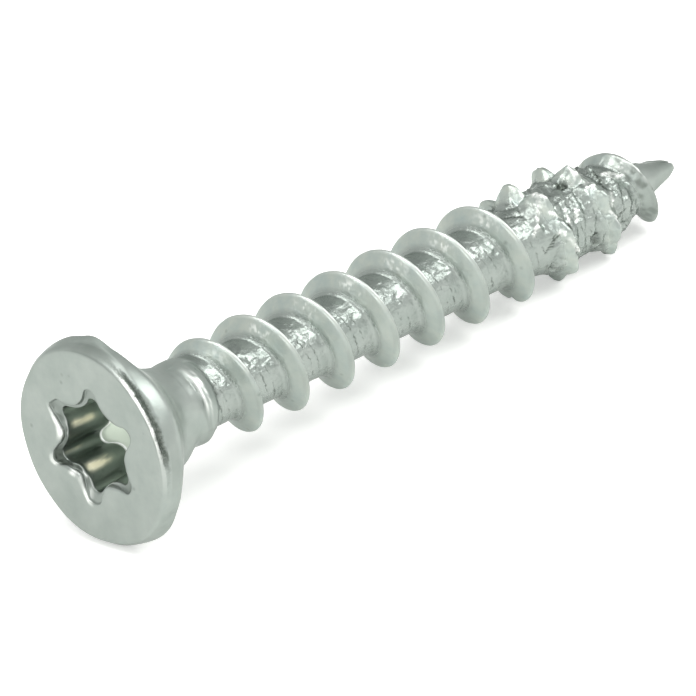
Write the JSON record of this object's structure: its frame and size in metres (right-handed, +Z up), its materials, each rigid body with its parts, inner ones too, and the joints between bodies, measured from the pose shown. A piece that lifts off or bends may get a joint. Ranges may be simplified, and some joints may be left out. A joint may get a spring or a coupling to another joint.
{
  "type": "wood screw",
  "caption": "Countersunk wood screw with a star-shaped drive recess, a coarse right-hand thread, saw-tooth notched turns near its end and a sharp point.",
  "frame": {"origin": "bottom centre of the box around the screw as it lies on a surface", "axes": "+X along the screw from head to point, level with the surface; +Z up; the screw's own axis drops 4.9 degrees from head to point"},
  "size_m": [0.035, 0.0096, 0.0095],
  "materials": {
    "zinc_plated_steel": "clear zinc plating, semi-bright, slightly crumpled between the thread turns"
  },
  "bodies": {
    "root": {"screw": "zinc_plated_steel"}
  },
  "joints": []
}
